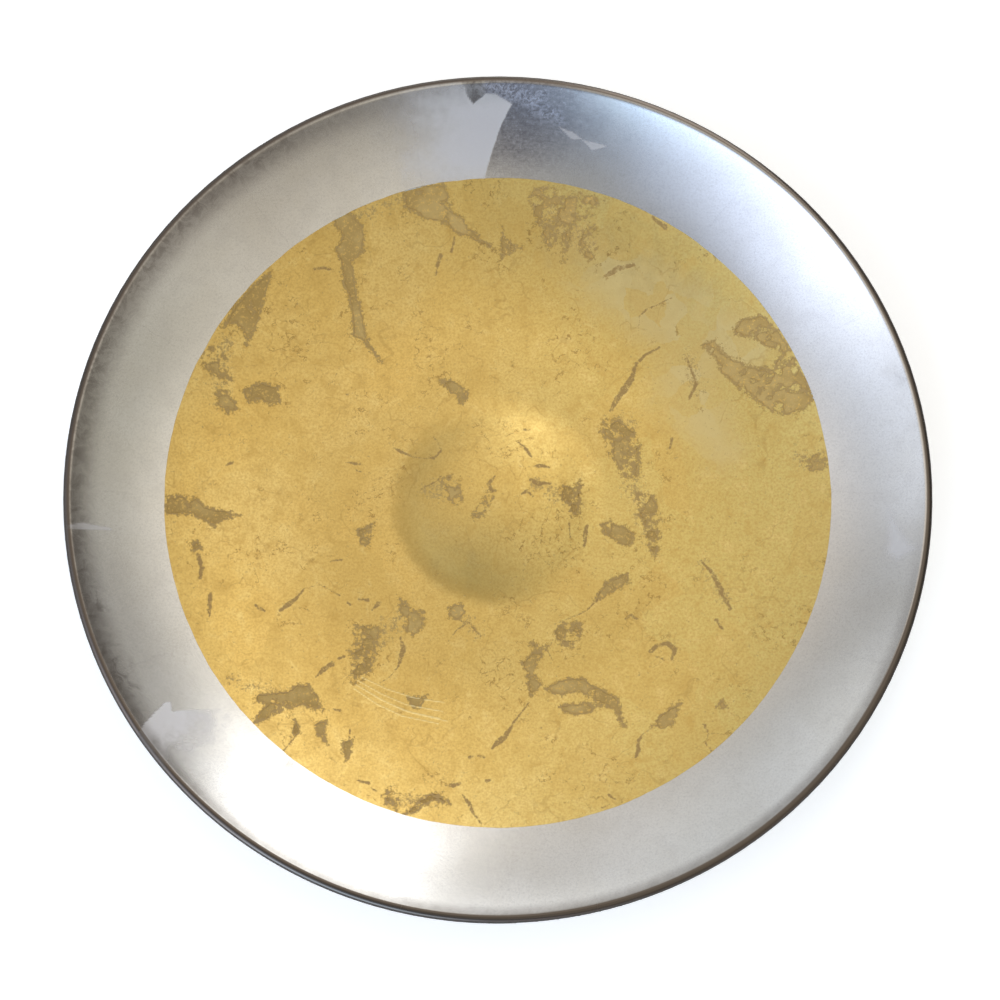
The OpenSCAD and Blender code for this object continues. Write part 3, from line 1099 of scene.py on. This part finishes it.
def ground_material(name, paint, edge=None):
    """Brushed-on paint, mottled between two colours, with flecks of leaf left on it, and painted shade
    along the outer edge where an edge colour is given.
    """
    made, tree, where = material(name)
    patterns = noises(tree, where, PAINT_NOISES)
    tone = layered(tree, paint["light"], patterns, [
        ("cloud", 0.38, 0.62, 0.0, 1.0, paint["dark"]),
        ("mottle", 0.40, 0.70, 0.0, 0.6, paint["dark"]),
        ("grain", 0.48, 0.80, 0.0, 0.6, paint["dark"]),
    ])
    flecks = stepped(tree, patterns["flecks"], 0.52, 0.64)
    tone = mixed(tree, flecks, tone, paint["fleck"])
    # painted shade along the outer edge
    if edge:
        _, radius = polar(tree, where)
        edge_shade = stepped(tree, radius, (PLATTER_R - EDGE_SHADE_START) * MM, (PLATTER_R - EDGE_SHADE_FULL) * MM)
        tone = mixed(tree, edge_shade, tone, edge)
    rough = stepped(tree, patterns["mottle"], 0.3, 0.7, 0.62, 0.75)
    metal = stepped(tree, flecks, 0.0, 1.0, 0.0, 0.7)
    raised = maths(tree, "ADD", patterns["grain"], flecks)
    surfaced(tree, raised, strength=0.3, depth_mm=0.1, Base_Color=tone, Metallic=metal, Roughness=rough)
    return made


def glass_material():
    """Clear glass with slow ripples and fine seeds."""
    made, tree, where = material("glass")
    patterns = noises(tree, where, GLASS_NOISES)
    tint = mixed(tree, stepped(tree, patterns["ripple"], 0.3, 0.7), GLASS_CLEAR, GLASS_GREEN)
    rough = stepped(tree, patterns["seeds"], 0.4, 0.8, 0.02, 0.06)
    surfaced(tree, patterns["ripple"], strength=0.15, depth_mm=0.5, Base_Color=tint, Roughness=rough,
             IOR=GLASS_IOR, Transmission_Weight=1.0)
    return made


# The object

def dress(piece, made, node):
    """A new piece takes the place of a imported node."""
    piece.data.materials.append(made)
    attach(piece, "root")
    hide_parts(node)


def repaint(node, made):
    """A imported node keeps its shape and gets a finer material."""
    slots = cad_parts[node].data.materials
    slots.clear()
    slots.append(made)


def gold_name(column, row):
    """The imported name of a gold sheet."""
    words = [word for word in (("front", "", "back")[row], ("left", "", "right")[column]) if word]
    return "gold_leaf_" + ("_".join(words) or "centre")


gold = gold_leaf_material()
for row in range(SHEETS_ACROSS):
    for column in range(SHEETS_ACROSS):
        node = gold_name(column, row)
        dress(gold_sheet(column, row, node + "_sheet"), gold, node)
silver = silver_leaf_material()
for i in range(SILVER_SHEETS):
    node = f"silver_leaf_{i + 1:02d}"
    dress(silver_sheet(i, node + "_sheet"), silver, node)

repaint("gold_ground", ground_material("gold_ground", GOLD_PAINT))
repaint("silver_ground", ground_material("silver_ground", SILVER_PAINT, SILVER_PAINT_EDGE_SHADE))
repaint("glass_platter", glass_material())


# Floor, light and camera, in metres

WHITE = (1, 1, 1, 1)
FLOOR_REACH = 12.0
FLOOR_DROP = 0.0002  # how far the floor lies under the foot
FLOOR_GREY = (0.85, 0.85, 0.85, 1)
FLOOR_GLOW = 0.54  # what the eye sees of it beside the light that falls on it
BACKDROP_LOW = math.radians(8)  # the backdrop fades into the studio between these elevations
BACKDROP_HIGH = math.radians(14)
KEY_AZIMUTH = math.radians(70)
KEY_ELEVATION = math.radians(33)
KEY_DISTANCE = 2.6
KEY_SIZE = (0.85, 1.78)  # width and height
KEY_RADIANCE = 2.2
EVEN_LIGHT = (0.02, 0.02, 0.02, 1)
LIGHT_INNER = math.radians(3.6)  # a soft light is full up to this angle from its middle
LIGHT_OUTER = math.radians(24)  # and gone from this one
# Soft round lights: azimuth and elevation in degrees, and radiance
SOFT_LIGHTS = [
    (90, 12, (1.20, 1.21, 1.22)),
    (38, 34, (0.31, 0.30, 0.28)),
    (120, 30, (0.62, 0.64, 0.66)),
    (150, 30, (0.40, 0.40, 0.40)),
    (180, 30, (0.40, 0.43, 0.50)),
    (210, 30, (1.16, 1.18, 1.28)),
    (240, 30, (2.20, 2.96, 3.90)),
    (270, 30, (0.74, 0.73, 0.76)),
    (300, 30, (0.35, 0.35, 0.34)),
    (330, 30, (0.51, 0.47, 0.43)),
    (0, 48, (0.44, 0.42, 0.36)),
    (90, 48, (0.40, 0.37, 0.34)),
    (180, 48, (0.50, 0.54, 0.62)),
    (210, 48, (0.90, 1.02, 1.32)),
    (252, 48, (0.10, 0.14, 0.22)),
    (76, 54, (0.24, 0.23, 0.21)),
    (45, 66, (0.94, 0.87, 0.76)),
    (135, 66, (0.76, 0.69, 0.61)),
    (315, 66, (0.52, 0.47, 0.39)),
    (270, 80, (0.31, 0.30, 0.27)),
]


def direction_to(azimuth, elevation):
    """Where a light stands, as a direction from the origin."""
    level = math.cos(elevation)
    return Vector((math.cos(azimuth) * level, math.sin(azimuth) * level, math.sin(elevation)))


def seen(tree):
    """1 for what the eye sees, directly, in a reflection or through glass, and 0 for light on a surface."""
    path = add(tree, "LightPath").outputs
    either = maths(tree, "MAXIMUM", path["Is Camera Ray"], path["Is Glossy Ray"])
    return maths(tree, "MAXIMUM", either, path["Is Transmission Ray"])


def make_floor():
    """A pale floor, white to the eye and in reflections, that keeps the object's shadow."""
    mesh = bpy.data.meshes.new("floor")
    corners = [(x * FLOOR_REACH, y * FLOOR_REACH, 0) for x, y in ((-1, -1), (1, -1), (1, 1), (-1, 1))]
    mesh.from_pydata(corners, [], [(0, 1, 2, 3)])
    floor = placed("floor", mesh)
    floor.location.z = -FLOOR_DROP
    made, tree, _ = material("floor")
    paper = add(tree, "BsdfDiffuse", Color=FLOOR_GREY)
    glow = add(tree, "Emission", Color=WHITE, Strength=times(tree, seen(tree), FLOOR_GLOW))
    both = add(tree, "AddShader")
    for socket, shader in zip(both.inputs, (paper, glow)):
        tree.links.new(shader.outputs[0], socket)
    finish_with(tree, both)
    mesh.materials.append(made)


def make_world():
    """Low, even light from everywhere, soft round lights in it and a white backdrop behind the floor."""
    world = bpy.data.worlds.new("studio")
    bpy.context.scene.world = world
    world.use_nodes = True
    tree = world.node_tree
    tree.nodes.clear()
    direction = add(tree, "TexCoord").outputs["Generated"]
    light = EVEN_LIGHT
    for azimuth, elevation, radiance in SOFT_LIGHTS:
        towards = add(tree, "VectorMath", {"operation": "DOT_PRODUCT"}, Vector=direction)
        towards.inputs[1].default_value = direction_to(math.radians(azimuth), math.radians(elevation))
        lobe = stepped(tree, towards.outputs["Value"], math.cos(LIGHT_OUTER), math.cos(LIGHT_INNER))
        light = mixed(tree, lobe, light, (*radiance, 1), "ADD")
    height = add(tree, "SeparateXYZ", Vector=direction).outputs[2]
    backdrop = stepped(tree, height, math.sin(BACKDROP_LOW), math.sin(BACKDROP_HIGH), 1.0, 0.0)
    light = mixed(tree, times(tree, backdrop, seen(tree)), light, WHITE)
    finish_with(tree, add(tree, "Background", Color=light, Strength=1.0), "OutputWorld")


def make_key():
    """The key light: a tall soft box that faces the platter. A mirror would show its radiance."""
    place = KEY_DISTANCE * direction_to(KEY_AZIMUTH, KEY_ELEVATION)
    lamp = bpy.data.lights.new("key", "AREA")
    lamp.shape = "RECTANGLE"
    lamp.size, lamp.size_y = KEY_SIZE
    lamp.energy = KEY_RADIANCE * math.pi * lamp.size * lamp.size_y
    key = placed("key", lamp)
    key.location = place
    key.rotation_euler = place.to_track_quat("Z", "Y").to_euler()


def make_camera():
    """The photograph's camera."""
    _, _, back = view_axes()
    lens = bpy.data.cameras.new("camera")
    lens.sensor_width = SENSOR_MM
    lens.lens = FOCAL_PX * SENSOR_MM / PICTURE
    lens.shift_x = (PICTURE / 2 - ORIGIN_PX[0]) / PICTURE
    lens.shift_y = (ORIGIN_PX[1] - PICTURE / 2) / PICTURE
    camera = placed("camera", lens)
    camera.location = Vector(back) * CAMERA_DISTANCE * MM
    camera.rotation_mode = "XYZ"
    camera.rotation_euler = (CAMERA_TILT, 0.0, 0.0)
    camera.rotation_euler.rotate_axis("Z", CAMERA_ROLL)
    bpy.context.scene.camera = camera


make_floor()
make_world()
make_key()
make_camera()
bpy.context.scene.view_settings.view_transform = "Standard"
